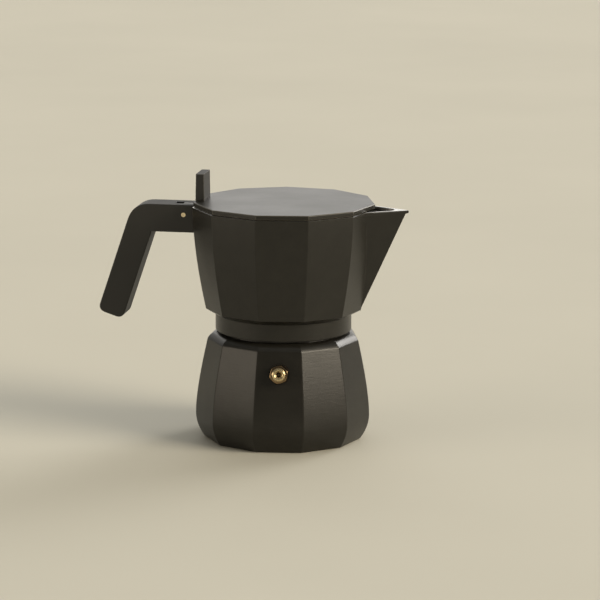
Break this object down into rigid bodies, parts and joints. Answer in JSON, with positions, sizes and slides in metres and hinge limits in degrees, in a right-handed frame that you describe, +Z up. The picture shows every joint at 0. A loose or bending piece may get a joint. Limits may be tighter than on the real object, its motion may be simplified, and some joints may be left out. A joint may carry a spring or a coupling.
{
  "type": "moka pot",
  "caption": "Faceted stove-top coffee maker: dark coated boiler and screw-on collector with V spout, hinged flat lid, angular black handle and block knob, brass safety valve.",
  "frame": {"origin": "centre of the boiler's flat base", "axes": "+Z up, +X towards the spout, -X towards the handle, Y across the pot"},
  "size_m": [0.1707, 0.0994, 0.1461],
  "materials": {
    "coated_body": "satin dark grey coating on cast aluminium, fine grain",
    "black_plastic": "satin moulded plastic",
    "brass": "machined, slightly warm",
    "bare_aluminium": "plain, fine turned marks",
    "bright_steel": "bright",
    "white_silicone": "matt silicone",
    "red_fibre": "pressed fibre washer"
  },
  "bodies": {
    "boiler": {"boiler": "coated_body", "valve_body": "brass", "valve_washer": "red_fibre", "valve_seat": "brass", "valve_spring": "bright_steel"},
    "valve_plunger": {"valve_plunger": "brass"},
    "funnel": {"funnel": "bare_aluminium", "funnel_disc": "bare_aluminium"},
    "gasket": {"gasket": "white_silicone"},
    "filter": {"filter_plate": "bare_aluminium"},
    "collector": {"collector": "coated_body", "column": "bare_aluminium", "column_cap": "bare_aluminium", "handle": "black_plastic", "handle_screw": "bright_steel", "hinge_pin": "brass"},
    "lid": {"lid": "coated_body", "knob": "black_plastic", "knob_screw_left": "bright_steel", "knob_screw_right": "bright_steel"}
  },
  "joints": [
    {"name": "valve_lift", "type": "slide", "parent": "boiler", "child": "valve_plunger", "axis": [0.1124, -0.974, 0.1969], "range_m": [0, 0.001], "stiffness_N_per_m": 500, "springref_m": -0.0005, "deforming": ["valve_spring"]},
    {"name": "funnel_lift", "type": "slide", "parent": "boiler", "child": "funnel", "axis": [0, 0, 1], "range_m": [0, 0.06]},
    {"name": "collector_lift", "type": "slide", "parent": "funnel", "child": "gasket", "axis": [0, 0, 1], "range_m": [0, 0.03]},
    {"name": "collector_rise", "type": "slide", "parent": "gasket", "child": "filter", "axis": [0, 0, 1], "range_m": [0, 0.006]},
    {"name": "collector_turn", "type": "hinge", "parent": "filter", "child": "collector", "pos_m": [0, 0, 0], "axis": [0, 0, 1], "range_deg": [0, 720]},
    {"name": "lid_hinge", "type": "hinge", "parent": "collector", "child": "lid", "pos_m": [-0.05447, 0, 0.1232], "axis": [0, -1, 0], "range_deg": [0, 92]}
  ],
  "couplings": [
    {"joint": "collector_rise", "follows": "collector_turn", "m_per_rad": 0.00047746}
  ]
}
